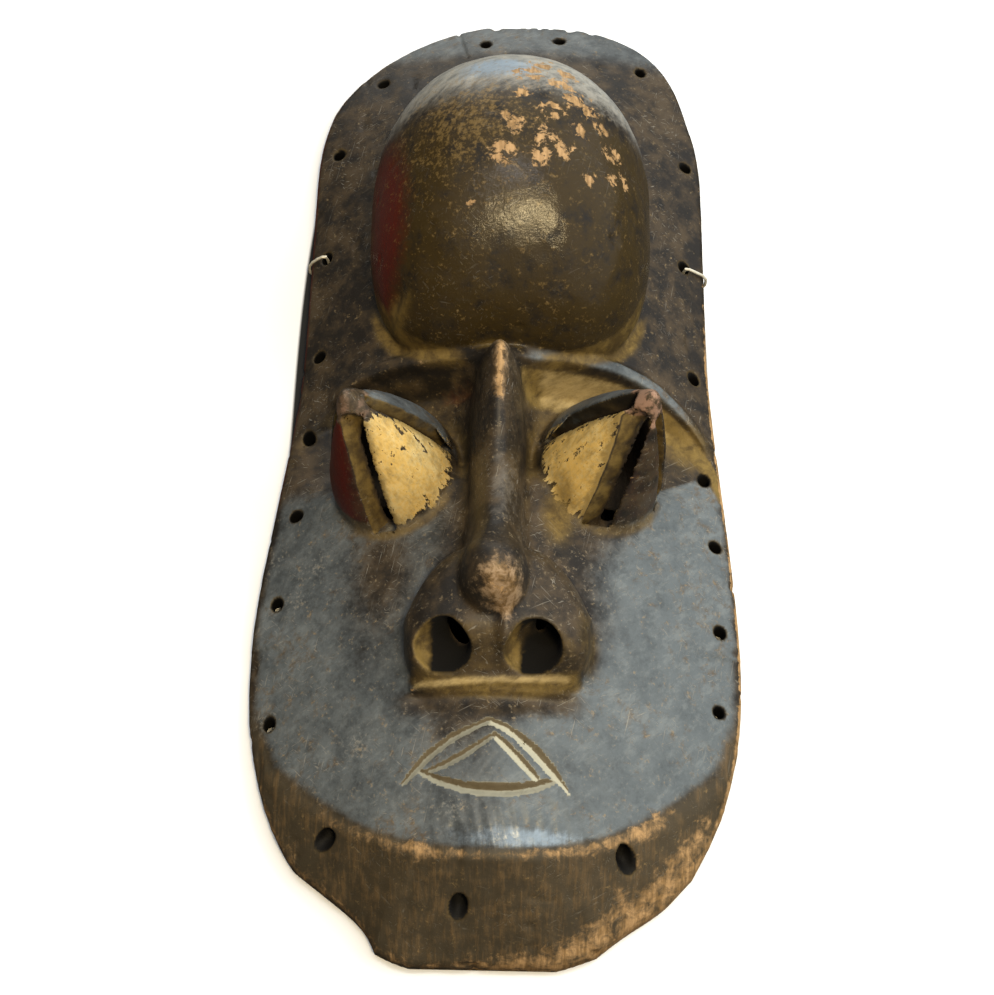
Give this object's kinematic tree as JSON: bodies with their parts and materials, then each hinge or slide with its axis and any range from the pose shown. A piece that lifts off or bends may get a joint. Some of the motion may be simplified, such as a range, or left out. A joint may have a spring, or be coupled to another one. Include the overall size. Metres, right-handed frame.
{
  "type": "carved wooden face mask",
  "caption": "Long carved wooden mask with a domed forehead, slotted cone eyes, a broad nose and a hollow back, lying face up.",
  "frame": {"origin": "centre of the outline, on the flat underside of the rim", "axes": "+X to the viewer's right, +Y from chin to crown, +Z out of the face, which looks up"},
  "size_m": [0.2432, 0.54, 0.135],
  "materials": {
    "patinated_wood": "dark worn patina with ochre dirt in the hollows, bare orange wood on the edges and yellow paint on the eyes",
    "wire": "dull drawn wire"
  },
  "bodies": {
    "root": {"carved_mask": "patinated_wood", "hanging_wire": "wire"}
  },
  "joints": []
}
